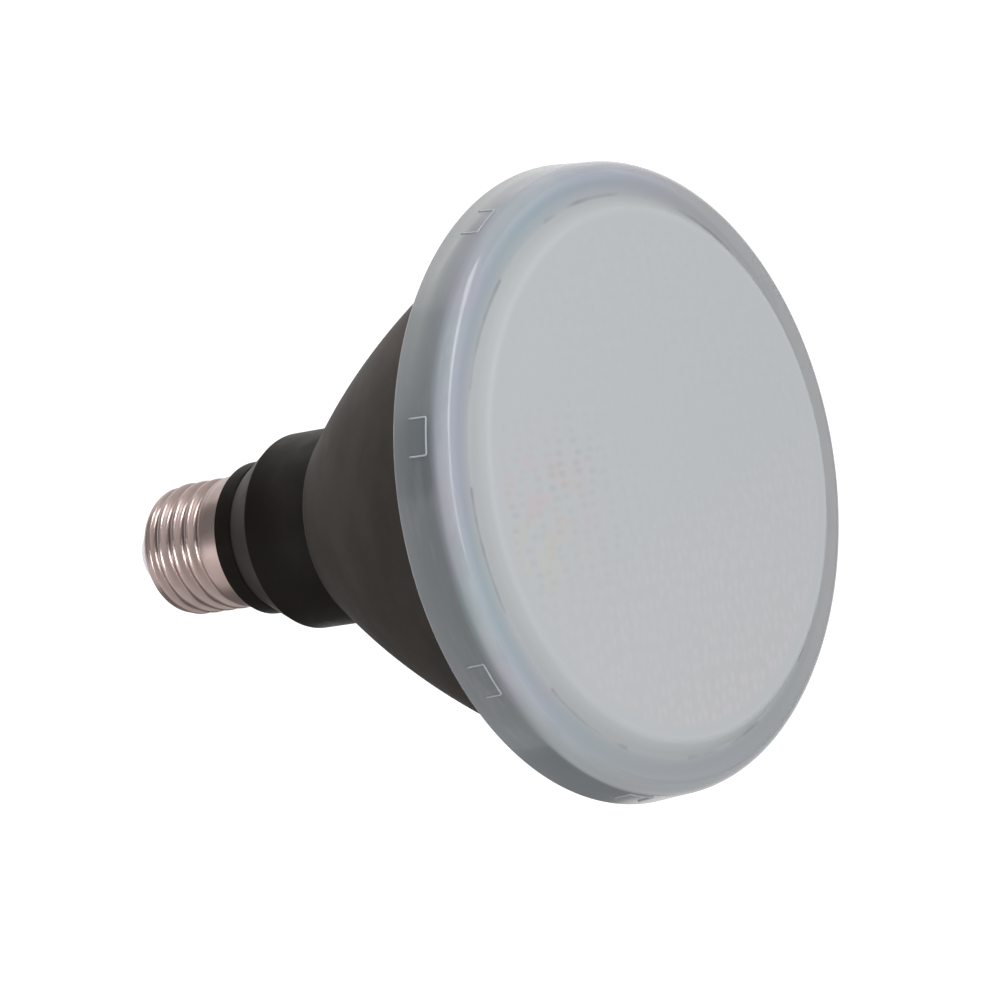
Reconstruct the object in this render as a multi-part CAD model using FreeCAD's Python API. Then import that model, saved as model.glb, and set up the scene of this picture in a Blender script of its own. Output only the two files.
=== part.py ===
import FreeCAD, Part
import math
import os

# Reflector spotlight bulb with an Edison screw cap, all lengths in millimetres.
# The bulb's axis is +Z, the lens faces up, and the origin is the tip of the centre contact.
# Heights named _z are measured from that tip.

# Screw cap: centre contact, insulator and rolled threaded shell
contact_r = 5.5
contact_face_r = 4.2
contact_bevel = 0.4
contact_edge = 1.0
contact_pin_r = 1.1
contact_pin_top_z = 10.8
insulator_tip_r = 6.2
insulator_plug_r = 9.8
insulator_edge = 0.3
insulator_top_z = 9.6
shell_wall = 0.4
shell_edge_r = 10.4
shell_edge_z = 7.0
thread_crest_r = 13.1
thread_root_r = 12.15
thread_pitch = 3.629
thread_start_z = 8.8
thread_end_z = 24.4
skirt_r = 13.2
shell_top_z = 29.3
shell_stations = 24
rows_per_turn = 6
shoulder_rows = 3
skirt_lap = 0.3
skirt_step = 0.03

# Neck housing: stub inside the shell, ring, flare, collar and driver tube
stub_gap = 0.25
stub_wall = 1.6
stub_bottom_z = 11.6
stub_slot_width = 1.4
stub_slot_length = 7.5
ring_r = 15.1
ring_height = 4.1
ring_edge = 0.3
flare_foot_r = 14.9
collar_r = 19.25
collar_z = 41.3
collar_edge = 0.35
collar_wall = 2.0
flange_thick = 2.5
tube_depth = 8.4
rail_thick = 1.2
rail_depth = 3.0
board_gap = 0.15

# Bell housing: a shallow arc from its rear lip to the rim that carries the lens
bell_rear_z = 58.2
bell_rear_wall = 2.05
bell_lip = 0.5
bell_front_z = 116.1
bell_bulge = 2.7
bell_cones = 4
bell_wall = 1.8
bell_bore_gap = 0.2
ledge_height = 8.4
shelf_depth = 11.1
shelf_bearing = 5.7
shelf_thick = 3.2
rim_plate = 1.8
rim_reach = 3.75
rim_wall = 1.6
rim_height = 7.1
rim_rib_wall = 0.95
rim_rib_gap = 1.1
rim_rib_angle = 26.0
rim_gap = 0.25

# Lens cover: skirt, rounded edge, flat annulus and raised, slightly domed disc
cover_wall = 1.8
cover_rear_r = 60.5
cover_lap = 0.5
cover_skirt = 8.0
cover_draft = 0.8
cover_edge_round = 3.4
cover_face_wall = 1.8
cover_rear_round = 0.4
annulus_width = 3.7
step_run = 2.4
step_wall = 1.6
disc_flat_r = 16.0
disc_edge_rise = 2.7
disc_dome = 1.3
disc_edge_round = 2.0
tongue_gap = 0.15
tongue_wall = 1.4
tongue_depth = 4.8
seal_overhang = 0.1
seal_gap = 0.4

# Snap catches that hold the lens cover on the rim, and the moulded frames over them
catch_count = 8
catch_angle = 167.0
catch_rise = 2.4
catch_height = 4.4
catch_width = 7.0
catch_depth = 0.9
lug_height = 3.4
lug_gap = 0.25
lug_sink = 0.05
frame_line = 0.45
frame_rise = 0.22

# Light board and what carries it
plate_thick = 2.5
plate_gap = 0.3
pad_thick = 0.3
pad_inset = 0.5
light_board_thick = 1.6
lead_hole_r = 4.0
led_length = 3.5
led_width = 2.8
led_height = 0.75
led_inner_r = 13.0
led_inset = 5.5
led_ring_count = 3
first_ring_count = 6
connector_width = 6.0
connector_depth = 4.4
connector_height = 3.0
connector_y = -7.4
connector_way = 1.8
connector_way_depth = 3.0
connector_floor = 0.5
reflector_wall = 1.2
reflector_gap = 0.3
reflector_foot = 2.1
reflector_rib_gap = 0.25
reflector_edge = 0.6

# Screws, three of each
screw_r = 1.25
screw_head_r = 2.2
screw_head_height = 1.7
screw_hole_r = 1.45
screw_count = 3
neck_screw_length = 5.8
neck_screw_inset = 2.6
neck_screw_turn = 30.0
plate_screw_length = 8.0
plate_screw_inset = 2.8
plate_screw_turn = 90.0
board_screw_length = 4.0
board_screw_turn = 90.0

# Driver board and what is soldered to it
driver_board_thick = 1.6
driver_board_gap = 0.55
driver_board_wide_z = 44.4
driver_board_drop = 2.7
tongue_half = 8.6
tongue_bottom_z = 13.0
part_gap = 0.1
cover_plate = 1.6
cover_plug = 1.8
cover_plug_gap = 0.2
input_capacitor_r = 5.0
input_capacitor_length = 16.0
input_capacitor_x = -6.4
output_capacitor_r = 4.0
output_capacitor_length = 13.0
output_capacitor_x = 7.0
can_bevel = 0.5
capacitor_drop = 17.5
transformer_z = 57.0
core_width = 16.0
core_height = 15.0
core_depth = 5.5
core_leg = 4.0
core_yoke = 2.6
winding_wall = 2.8
winding_bevel = 1.2
inductor_r = 4.2
inductor_height = 9.0
inductor_flange = 1.2
inductor_groove = 0.7
inductor_x = 5.6
inductor_z = 49.4
film_width = 10.0
film_depth = 5.0
film_height = 8.6
film_bevel = 0.7
film_x = -6.2
film_z = 45.0
bridge_width = 4.6
bridge_height = 6.4
bridge_thick = 2.2
bridge_legs = 2
bridge_leg_pitch = 4.0
bridge_z = 44.8
chip_width = 4.0
chip_height = 5.0
chip_thick = 1.4
chip_legs = 4
chip_leg_pitch = 1.27
chip_z = 51.6
leg_thick = 0.2
leg_width = 0.4
leg_reach = 1.0
fuse_r = 1.6
fuse_length = 7.0
fuse_x = -3.0
fuse_z = 21.0
fuse_wire_end = 2.0
lead_r = 0.35
output_lead_r = 0.6
output_lead_x = 1.7
output_lead_lap = 5.0
output_lead_entry = 1.2
lead_bend = 1.3
live_lead_lap = 5.0
neutral_lead_inset = 1.6
neutral_lead_rise = 4.9
neutral_lead_drop = 0.3
lead_gap = 0.05

# Sizes that follow from the ones above
contact_top_z = contact_bevel + contact_edge
stub_r = thread_root_r - shell_wall - stub_gap
stub_bore_r = stub_r - stub_wall
ring_top_z = shell_top_z + ring_height
tube_bore_r = collar_r - collar_wall
bell_bore_r = collar_r + bell_bore_gap
bell_rear_r = bell_bore_r + bell_rear_wall
ledge_z = bell_rear_z + ledge_height
shelf_z = bell_front_z - shelf_depth
tube_top_z = shelf_z - tube_depth
driver_board_top_z = tube_top_z - driver_board_drop
driver_board_half = tube_bore_r - driver_board_gap
capacitor_z = driver_board_top_z - capacitor_drop
board_face = driver_board_thick / 2
plate_top_z = shelf_z + plate_thick
board_z = plate_top_z + pad_thick
board_top_z = board_z + light_board_thick

# Heights and radii of the cover, and what stands inside it, from its rear edge inwards
cover_rear_z = bell_front_z - cover_lap
cover_shoulder_z = cover_rear_z + cover_skirt
annulus_z = cover_shoulder_z + cover_edge_round
floor_z = annulus_z - cover_face_wall
tongue_foot_z = floor_z - tongue_depth
reflector_top_z = floor_z - seal_gap / 2
catch_bottom_z = cover_rear_z + catch_rise
rim_top_z = bell_front_z + rim_height
rim_plate_top_z = bell_front_z + rim_plate
cover_shoulder_r = cover_rear_r - cover_draft
cover_bore_r = cover_shoulder_r - cover_wall
rim_r = cover_bore_r - rim_gap
tongue_r = rim_r - rim_wall - tongue_gap - tongue_wall
rim_rib_r = tongue_r - rim_rib_gap - rim_rib_wall
reflector_top_r = rim_rib_r - reflector_rib_gap
step_r = cover_shoulder_r - cover_edge_round - annulus_width
disc_r = step_r - step_run - step_wall
bell_front_r = rim_r - rim_reach

# The bell's outer arc: its chord, centre and radius
chord_r = bell_front_r - bell_rear_r
chord_z = bell_front_z - bell_rear_z - bell_lip
chord = math.hypot(chord_r, chord_z)
bell_radius = chord * chord / (8 * bell_bulge) + bell_bulge / 2
chord_middle_r = (bell_front_r + bell_rear_r) / 2
chord_middle_z = (bell_front_z + bell_rear_z + bell_lip) / 2
bell_centre_r = chord_middle_r - (bell_radius - bell_bulge) * chord_z / chord
bell_centre_z = chord_middle_z + (bell_radius - bell_bulge) * chord_r / chord

origin = FreeCAD.Vector(0, 0, 0)
up = FreeCAD.Vector(0, 0, 1)


# Radius of the bell at a height, on its outer face or a distance inside it
def bell_r(height, inset=0.0):
    radius = bell_radius - inset
    return bell_centre_r + math.sqrt(radius * radius - (height - bell_centre_z) ** 2)


# Points along the bell between two heights, evenly spaced, as short cones that follow the arc
def bell_run(start_z, end_z, cones, inset=0.0):
    heights = [start_z + (end_z - start_z) * number / cones for number in range(cones + 1)]
    return [(bell_r(height, inset), height) for height in heights]


# Points that round the corner between two straight runs with a few flats on its arc
def rounded(before, corner, after, radius, flats=2):
    apex = FreeCAD.Vector(corner[0], 0, corner[1])
    back = (FreeCAD.Vector(before[0], 0, before[1]) - apex).normalize()
    ahead = (FreeCAD.Vector(after[0], 0, after[1]) - apex).normalize()
    half_angle = back.getAngle(ahead) / 2
    reach = radius / math.tan(half_angle)
    centre = apex + (back + ahead).normalize() * (radius / math.sin(half_angle))
    first = apex + back * reach - centre
    last = apex + ahead * reach - centre
    sweep = math.pi - 2 * half_angle
    places = []
    for number in range(flats + 1):
        share = number / flats
        spoke = first * math.sin((1 - share) * sweep) + last * math.sin(share * sweep)
        place = centre + spoke * (1 / math.sin(sweep))
        places.append((place.x, place.z))
    return places


# Closed outline in the radius-height plane from its corner points
def outline(corners):
    places = [FreeCAD.Vector(radius, 0, height) for radius, height in corners]
    return Part.Face(Part.makePolygon(places + [places[0]]))


# Solid of revolution about the bulb's axis, whole or through an angle
def turned(corners, angle=360.0):
    return outline(corners).revolve(origin, up, angle)


# Upright cylinder, placed by its axis and its lower end
def post(radius, bottom_z, top_z, x=0.0, y=0.0):
    return Part.makeCylinder(radius, top_z - bottom_z, FreeCAD.Vector(x, y, bottom_z))


# Box placed by its centre in x and y and by its lower face
def block(width, depth, height, x, y, bottom_z):
    corner = FreeCAD.Vector(x - width / 2, y - depth / 2, bottom_z)
    return Part.makeBox(width, depth, height, corner)


def spun(shape, degrees):
    copy = shape.copy()
    copy.rotate(origin, up, degrees)
    return copy


# Copies of a shape spread evenly around the axis
def around(shape, count, first=0.0):
    return [spun(shape, first + 360.0 * number / count) for number in range(count)]


# Places of the three screws on a circle
def screw_places(circle, first):
    places = []
    for number in range(screw_count):
        turn = math.radians(first + 360.0 * number / screw_count)
        places.append((circle * math.cos(turn), circle * math.sin(turn)))
    return places


# Pan-head screw pointing down from the face that its head sits on
def screw(length, x, y, seat_z):
    body = turned([
        (0, seat_z - length),
        (screw_r, seat_z - length),
        (screw_r, seat_z),
        (screw_head_r, seat_z),
        (screw_head_r, seat_z + screw_head_height),
        (0, seat_z + screw_head_height),
    ])
    body.translate(FreeCAD.Vector(x, y, 0))
    return body


# Round wire along a route, with each square corner turned in two steps
def wire(points, radius, bend):
    corners = [FreeCAD.Vector(*place) for place in points]
    route = [corners[0]]
    for number in range(1, len(corners) - 1):
        corner = corners[number]
        back = (corners[number - 1] - corner).normalize()
        ahead = (corners[number + 1] - corner).normalize()
        cut = bend * (2 - math.sqrt(2))
        route.append(corner + back * cut)
        route.append(corner + ahead * cut)
    route.append(corners[-1])
    start_way = (corners[1] - corners[0]).normalize()
    section = Part.Wire(Part.makeCircle(radius, corners[0], start_way))
    return Part.makePolygon(route).makePipeShell([section], True, False, 1)


# Small surface-mounted package on the back of the driver board, legs along its two sides
def package(width, height, thick, legs, leg_pitch, bottom_z):
    body = block(width, thick, height, 0, -board_face - leg_thick - thick / 2, bottom_z)
    for number in range(legs):
        leg_z = bottom_z + height / 2 + (number - (legs - 1) / 2) * leg_pitch - leg_width / 2
        leg = block(width + 2 * leg_reach, leg_thick, leg_width, 0, -board_face - leg_thick / 2, leg_z)
        body = body.fuse(leg)
    return body.removeSplitter()


# Can capacitor lying along the back of the board, with a bevel round its closed end
def can_capacitor(radius, length, x):
    top_z = capacitor_z + length
    body = turned([
        (0, capacitor_z),
        (radius, capacitor_z),
        (radius, top_z - can_bevel),
        (radius - can_bevel, top_z),
        (0, top_z),
    ])
    body.translate(FreeCAD.Vector(x, -board_face - part_gap - radius, 0))
    return body


# Bevelled disc on a pin that is pressed through the insulator
def make_centre_contact():
    return turned([
        (0, 0),
        (contact_face_r, 0),
        (contact_r, contact_bevel),
        (contact_r, contact_top_z),
        (contact_pin_r, contact_top_z),
        (contact_pin_r, contact_pin_top_z),
        (0, contact_pin_top_z),
    ])


# Moulded cone that keeps the contact and the shell apart, plugged into the shell's edge
def make_cap_insulator():
    return turned([
        (contact_pin_r, contact_top_z),
        (insulator_tip_r, contact_top_z),
        (shell_edge_r, shell_edge_z - insulator_edge),
        (shell_edge_r, shell_edge_z),
        (insulator_plug_r, shell_edge_z),
        (insulator_plug_r, insulator_top_z),
        (contact_pin_r, insulator_top_z),
    ])


# Height of the thread's wave over its middle radius, for a distance from a crest.
# Crests and roots are equal arcs that meet tangentially a quarter of a pitch from each.
def thread_wave(distance):
    half_depth = (thread_crest_r - thread_root_r) / 2
    quarter = thread_pitch / 4
    arc_r = (quarter * quarter + half_depth * half_depth) / (2 * half_depth)
    offset = abs((distance + thread_pitch / 2) % thread_pitch - thread_pitch / 2)
    if offset <= quarter:
        return half_depth - arc_r + math.sqrt(arc_r * arc_r - offset * offset)
    offset = thread_pitch / 2 - offset
    return arc_r - half_depth - math.sqrt(arc_r * arc_r - offset * offset)


def eased(share):
    share = min(max(share, 0.0), 1.0)
    return share * share * (3 - 2 * share)


# Outer radius of the shell at an angle and height: shoulder, thread fading in and out, skirt
def shell_r(angle, height):
    middle_r = (thread_crest_r + thread_root_r) / 2
    fade = thread_pitch / 2
    rising = eased((height - thread_start_z) / fade)
    ending = eased((thread_end_z - height) / fade)
    radius = middle_r + (skirt_r - skirt_step - middle_r) * (1 - ending)
    below = min(max((thread_start_z - height) / (thread_start_z - shell_edge_z), 0.0), 1.0)
    radius -= (middle_r - shell_edge_r) * (1 - math.sqrt(1 - below * below))
    lead = thread_pitch * angle / (2 * math.pi)
    return radius + rising * ending * thread_wave(height - lead)


# Heights of the shell's rows, closer together on the rounded shoulder
def shell_heights():
    heights = []
    for number in range(shoulder_rows):
        turn = math.pi / 2 * (1 - number / shoulder_rows)
        heights.append(thread_start_z - (thread_start_z - shell_edge_z) * math.sin(turn))
    length = thread_end_z - thread_start_z
    rows = round(length / thread_pitch * rows_per_turn)
    for number in range(rows + 1):
        heights.append(thread_start_z + length * number / rows)
    return heights


# Two flat facets between four neighbouring points of a surface
def facets(a, b, c, d):
    return [Part.Face(Part.makePolygon(corners)) for corners in ((a, b, c, a), (a, c, d, a))]


# Thin shell with a rolled right-hand thread: the wall's outer and inner surfaces are laid out
# in rows at stations around the axis, closed at both edges, and joined to the plain skirt
def make_screw_shell():
    heights = shell_heights()
    outside = []
    inside = []
    for station in range(shell_stations + 1):
        angle = 2 * math.pi * (station % shell_stations) / shell_stations
        across = FreeCAD.Vector(math.cos(angle), math.sin(angle), 0)
        outside.append([across * shell_r(angle, height) + up * height for height in heights])
        inside.append([place - across * shell_wall for place in outside[-1]])
    faces = []
    for here, there in zip(range(shell_stations), range(1, shell_stations + 1)):
        for row in range(len(heights) - 1):
            faces += facets(outside[here][row], outside[there][row],
                            outside[there][row + 1], outside[here][row + 1])
            faces += facets(inside[here][row], inside[here][row + 1],
                            inside[there][row + 1], inside[there][row])
        for row in (0, -1):
            faces += facets(outside[here][row], inside[here][row],
                            inside[there][row], outside[there][row])
    walls = Part.makeShell(faces)
    walls.sewShape()
    threaded = Part.makeSolid(walls)
    skirt = post(skirt_r, thread_end_z - skirt_lap, shell_top_z)
    skirt = skirt.cut(post(skirt_r - shell_wall, thread_end_z - skirt_lap, shell_top_z))
    return threaded.fuse(skirt)


def neck_screw_places():
    return screw_places(collar_r + neck_screw_inset, neck_screw_turn)


def flange_r():
    return bell_r(ledge_z, bell_wall) - bell_bore_gap


# Moulded neck: the stub goes into the shell, the collar shows, the flange sits on the bell's
# ledge, and the tube above it holds the driver board between two pairs of rails
def make_neck_housing():
    flange_top_z = ledge_z + flange_thick
    body = turned([
        (stub_bore_r, stub_bottom_z),
        (stub_r, stub_bottom_z),
        (stub_r, shell_top_z),
        *rounded((stub_r, shell_top_z), (ring_r, shell_top_z), (ring_r, ring_top_z), ring_edge, 1),
        (ring_r, ring_top_z - ring_edge),
        (flare_foot_r, ring_top_z),
        *rounded((flare_foot_r, ring_top_z), (collar_r, collar_z), (collar_r, ledge_z), collar_edge, 1),
        (collar_r, ledge_z),
        (flange_r(), ledge_z),
        (flange_r(), flange_top_z),
        (collar_r, flange_top_z),
        (collar_r, tube_top_z),
        (tube_bore_r, tube_top_z),
        (tube_bore_r, collar_z + collar_wall),
        (stub_bore_r, ring_top_z),
    ])
    rail_length = driver_board_top_z - driver_board_wide_z
    rail_x = tube_bore_r + collar_wall / 2 - rail_depth / 2
    rail_y = board_face + board_gap + rail_thick / 2
    for side in (-1, 1):
        for face in (-1, 1):
            rail = block(rail_depth, rail_thick, rail_length, side * rail_x, face * rail_y,
                         driver_board_wide_z)
            body = body.fuse(rail)
    for x, y in neck_screw_places():
        body = body.cut(post(screw_hole_r, ledge_z, flange_top_z, x, y))
    slot = block(3 * stub_wall, stub_slot_width, stub_slot_length, stub_r, board_face + lead_r,
                 stub_bottom_z)
    return body.cut(slot).removeSplitter()


# Bell-shaped housing with a thick rear ring, a shelf for the plate and an open rim
def make_bell_housing():
    lip_z = bell_rear_z + bell_lip
    shelf_low_z = shelf_z - shelf_thick
    body = turned([
        (bell_bore_r, bell_rear_z),
        (bell_rear_r - bell_lip, bell_rear_z),
        *bell_run(lip_z, bell_front_z, bell_cones),
        (rim_r, bell_front_z),
        (rim_r, rim_top_z),
        (rim_r - rim_wall, rim_top_z),
        (rim_r - rim_wall, rim_plate_top_z),
        (bell_r(bell_front_z, bell_wall), rim_plate_top_z),
        (bell_r(bell_front_z, bell_wall), bell_front_z),
        (bell_r(shelf_z, bell_wall), shelf_z),
        (shelf_r(), shelf_z),
        (shelf_r(), shelf_low_z),
        *bell_run(shelf_low_z, ledge_z, 2, bell_wall),
        (bell_bore_r, ledge_z),
    ])
    rib_top_z = floor_z - seal_gap
    rib = turned([
        (rim_rib_r, bell_front_z),
        (rim_rib_r + rim_rib_wall, bell_front_z),
        (rim_rib_r + rim_rib_wall, rib_top_z),
        (rim_rib_r, rib_top_z),
    ], rim_rib_angle)
    half_step = 180.0 / catch_count
    first_rib = catch_angle + half_step - rim_rib_angle / 2
    ribs = around(rib, catch_count, first_rib)
    lugs = around(make_lug(), catch_count, catch_angle)
    body = body.fuse(ribs + lugs)
    for x, y in neck_screw_places():
        body = body.cut(post(screw_r, ledge_z - neck_screw_length + flange_thick, ledge_z, x, y))
    for x, y in plate_screw_places():
        body = body.cut(post(screw_r, shelf_z - plate_screw_length + plate_thick, shelf_z, x, y))
    return body.removeSplitter()


# Ramped lug on the outside of the rim, drawn on the +X side
def make_lug():
    bottom_z = catch_bottom_z + (catch_height - lug_height) / 2
    reach_r = cover_bore_r + catch_depth - lug_gap
    half = catch_width / 2 - lug_gap
    face = outline([
        (rim_r - rim_wall / 2, bottom_z),
        (reach_r, bottom_z),
        (reach_r, bottom_z + lug_height / 3),
        (rim_r - lug_sink, bottom_z + lug_height),
        (rim_r - rim_wall / 2, bottom_z + lug_height),
    ])
    face.translate(FreeCAD.Vector(0, -half, 0))
    return face.extrude(FreeCAD.Vector(0, 2 * half, 0))


# Clear moulding with its snap pockets inside the skirt and the frames that show outside
def make_lens_cover():
    edge_z = annulus_z + disc_edge_rise
    corner_r = cover_shoulder_r - cover_edge_round
    rear = (cover_rear_r, cover_rear_z)
    shoulder = (cover_shoulder_r, annulus_z)
    step_head = (step_r - step_run, edge_z)
    body = turned([
        (cover_bore_r, cover_rear_z),
        *rounded((disc_r, cover_rear_z), rear, (cover_shoulder_r, cover_shoulder_z), cover_rear_round, 1),
        *rounded(rear, shoulder, (corner_r, annulus_z), cover_edge_round, 3),
        (step_r, annulus_z),
        *rounded((step_r, annulus_z), step_head, (disc_flat_r, edge_z), disc_edge_round, 2),
        (disc_flat_r, edge_z + disc_dome),
        (0, edge_z + disc_dome),
        (0, edge_z - cover_face_wall),
        (disc_r, edge_z - cover_face_wall),
        (disc_r + step_run, floor_z),
        (tongue_r, floor_z),
        (tongue_r, tongue_foot_z),
        (tongue_r + tongue_wall, tongue_foot_z),
        (tongue_r + tongue_wall, floor_z),
        (corner_r, floor_z),
        (cover_bore_r, cover_shoulder_z),
    ])
    pocket_depth = 2 * catch_depth
    pocket = block(pocket_depth, catch_width, catch_height,
                   cover_bore_r + catch_depth - pocket_depth / 2, 0, catch_bottom_z)
    body = body.cut(around(pocket, catch_count, catch_angle))
    return body.fuse(around(make_frame(), catch_count, catch_angle)).removeSplitter()


# Three thin raised lines around a catch, open towards the rear, drawn on the +X side
def make_frame():
    skin = turned([
        (cover_bore_r + cover_wall / 2, cover_rear_z),
        (cover_rear_r + frame_rise, cover_rear_z),
        (cover_shoulder_r + frame_rise, cover_shoulder_z),
        (cover_bore_r + cover_wall / 2, cover_shoulder_z),
    ])
    side_y = catch_width / 2
    reach = 2 * cover_wall
    top = block(reach, catch_width + frame_line, frame_line, cover_shoulder_r, 0,
                catch_bottom_z + catch_height - frame_line)
    left = block(reach, frame_line, catch_height, cover_shoulder_r, -side_y, catch_bottom_z)
    right = block(reach, frame_line, catch_height, cover_shoulder_r, side_y, catch_bottom_z)
    return top.fuse([left, right]).common(skin)


# Square-section sealing ring between the rim plate and the cover's tongue
def make_lens_gasket():
    inner_r = tongue_r - seal_overhang
    outer_r = tongue_r + tongue_wall + seal_overhang
    return turned([
        (inner_r, rim_plate_top_z),
        (outer_r, rim_plate_top_z),
        (outer_r, tongue_foot_z),
        (inner_r, tongue_foot_z),
    ])


def plate_r():
    return bell_r(shelf_z, bell_wall) - plate_gap


# Radius of the opening in the bell's shelf, which leaves a bearing under the plate's edge
def shelf_r():
    return plate_r() - shelf_bearing


# The light board stands inside the reflector's foot, which lines up with the shelf's opening
def light_board_r():
    return shelf_r() - reflector_wall - reflector_gap


# Radius of a ring of chips: evenly spaced from the innermost ring to the board's edge
def led_ring_r(number):
    outer_r = light_board_r() - led_inset
    return led_inner_r + (outer_r - led_inner_r) * number / (led_ring_count - 1)


def plate_screw_places():
    return screw_places(shelf_r() + plate_screw_inset, plate_screw_turn)


# The board's screws stand midway between the two outer rings of chips
def board_screw_places():
    circle = (led_ring_r(led_ring_count - 2) + led_ring_r(led_ring_count - 1)) / 2
    return screw_places(circle, board_screw_turn)


# Flat metal disc that carries the light board and passes its heat to the bell
def make_heat_plate():
    body = post(plate_r(), shelf_z, plate_top_z).cut(post(lead_hole_r, shelf_z, plate_top_z))
    for x, y in plate_screw_places():
        body = body.cut(post(screw_hole_r, shelf_z, plate_top_z, x, y))
    for x, y in board_screw_places():
        body = body.cut(post(screw_r, shelf_z, plate_top_z, x, y))
    return body


def drilled_disc(radius, bottom_z, top_z):
    body = post(radius, bottom_z, top_z).cut(post(lead_hole_r, bottom_z, top_z))
    for x, y in board_screw_places():
        body = body.cut(post(screw_hole_r, bottom_z, top_z, x, y))
    return body


# Light-emitting chips in rings, one solid each, turned so that no chip meets a board screw
def make_leds():
    chips = []
    for number in range(led_ring_count):
        count = first_ring_count * (number + 1)
        chip = block(led_width, led_length, led_height, led_ring_r(number), 0, board_top_z)
        chips += around(chip, count, board_screw_turn + 180.0 / count)
    return Part.makeCompound(chips)


# Two-way socket on the light board, open towards the lead hole
def make_board_connector():
    body = block(connector_width, connector_depth, connector_height, 0, connector_y, board_top_z)
    mouth_y = connector_y + connector_depth / 2
    for side in (-1, 1):
        way = block(connector_way, 2 * connector_way_depth, connector_way, side * output_lead_x,
                    mouth_y, board_top_z + connector_floor)
        body = body.cut(way)
    return body


# White cone between the light board and the cover, footed on the plate
def make_reflector():
    foot_r = light_board_r() + reflector_gap
    foot_top_z = plate_top_z + reflector_foot
    return turned([
        (foot_r, plate_top_z),
        (foot_r + reflector_wall, plate_top_z),
        (foot_r + reflector_wall, foot_top_z),
        (reflector_top_r, reflector_top_z - reflector_edge),
        (reflector_top_r, reflector_top_z),
        (reflector_top_r - reflector_wall, reflector_top_z),
        (foot_r, foot_top_z),
    ])


def make_screws(places, length, seat_z):
    return Part.makeCompound([screw(length, x, y, seat_z) for x, y in places])


# Lid of the driver tube, with a plug that centres it and a hole for the output leads
def make_driver_cover():
    plug_r = tube_bore_r - cover_plug_gap
    return turned([
        (lead_hole_r, tube_top_z - cover_plug),
        (plug_r, tube_top_z - cover_plug),
        (plug_r, tube_top_z),
        (collar_r, tube_top_z),
        (collar_r, tube_top_z + cover_plate),
        (lead_hole_r, tube_top_z + cover_plate),
    ])


# Upright circuit board in the neck, with a narrow tongue that reaches down into the cap
def make_driver_board():
    wide = block(2 * driver_board_half, driver_board_thick, driver_board_top_z - driver_board_wide_z,
                 0, 0, driver_board_wide_z)
    tongue = block(2 * tongue_half, driver_board_thick, driver_board_wide_z - tongue_bottom_z,
                   0, 0, tongue_bottom_z)
    return wide.fuse(tongue).removeSplitter()


def winding_y():
    return board_face + part_gap + core_depth / 2 + winding_wall


# Ferrite frame with a middle leg
def make_transformer_core():
    window_width = (core_width - 3 * core_leg) / 2 + core_leg / 2
    window_x = core_leg / 2 + window_width / 2
    body = block(core_width, core_depth, core_height, 0, winding_y(), transformer_z)
    for side in (-1, 1):
        body = body.cut(block(window_width, core_depth, core_height - 2 * core_yoke,
                              side * window_x, winding_y(), transformer_z + core_yoke))
    return body


# Wound bobbin around the middle leg
def make_transformer_winding():
    height = core_height - 2 * core_yoke - 2 * part_gap
    bottom_z = transformer_z + core_yoke + part_gap
    outer_width = core_leg + 2 * winding_wall
    outer_depth = core_depth + 2 * winding_wall
    body = block(outer_width, outer_depth, height, 0, winding_y(), bottom_z)
    upright = [edge for edge in body.Edges if abs(edge.tangentAt(edge.FirstParameter).z) > 0.9]
    body = body.makeChamfer(winding_bevel, upright)
    hole = block(core_leg + 2 * part_gap, core_depth + 2 * part_gap, height, 0, winding_y(), bottom_z)
    return body.cut(hole)


# Drum choke standing out from the board
def make_filter_inductor():
    drum_r = inductor_r - inductor_groove
    body = turned([
        (0, 0),
        (inductor_r, 0),
        (inductor_r, inductor_flange),
        (drum_r, inductor_flange),
        (drum_r, inductor_height - inductor_flange),
        (inductor_r, inductor_height - inductor_flange),
        (inductor_r, inductor_height),
        (0, inductor_height),
    ])
    body.rotate(origin, FreeCAD.Vector(1, 0, 0), -90)
    body.translate(FreeCAD.Vector(inductor_x, board_face + part_gap, inductor_z))
    return body


def make_film_capacitor():
    y = board_face + part_gap + film_depth / 2
    body = block(film_width, film_depth, film_height, film_x, y, film_z)
    upright = [edge for edge in body.Edges if abs(edge.tangentAt(edge.FirstParameter).y) > 0.9]
    return body.makeChamfer(film_bevel, upright)


# Fusible resistor along the tongue, with its two lead ends
def make_fuse_resistor():
    top_z = fuse_z + fuse_length
    body = turned([
        (0, fuse_z - fuse_wire_end),
        (lead_r, fuse_z - fuse_wire_end),
        (lead_r, fuse_z),
        (fuse_r, fuse_z),
        (fuse_r, top_z),
        (lead_r, top_z),
        (lead_r, top_z + fuse_wire_end),
        (0, top_z + fuse_wire_end),
    ])
    body.translate(FreeCAD.Vector(fuse_x, board_face + part_gap + fuse_r, 0))
    return body


# From the contact's pin up to the tongue
def make_live_lead():
    y = contact_pin_r + lead_r + lead_gap
    return wire([(0, y, insulator_top_z), (0, y, tongue_bottom_z + live_lead_lap)], lead_r, lead_bend)


# From the tongue out through the stub's slot and up against the inside of the shell
def make_neutral_lead():
    y = board_face + lead_r
    shell_inside = (thread_root_r - shell_wall) * math.cos(math.pi / shell_stations)
    outer_x = math.sqrt((shell_inside - lead_r - lead_gap) ** 2 - y * y)
    inner_x = tongue_half - neutral_lead_inset
    low_z = tongue_bottom_z + neutral_lead_drop
    top_z = low_z + neutral_lead_rise
    route = [(inner_x, y, top_z), (inner_x, y, low_z), (outer_x, y, low_z), (outer_x, y, top_z)]
    return wire(route, lead_r, lead_bend)


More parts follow.
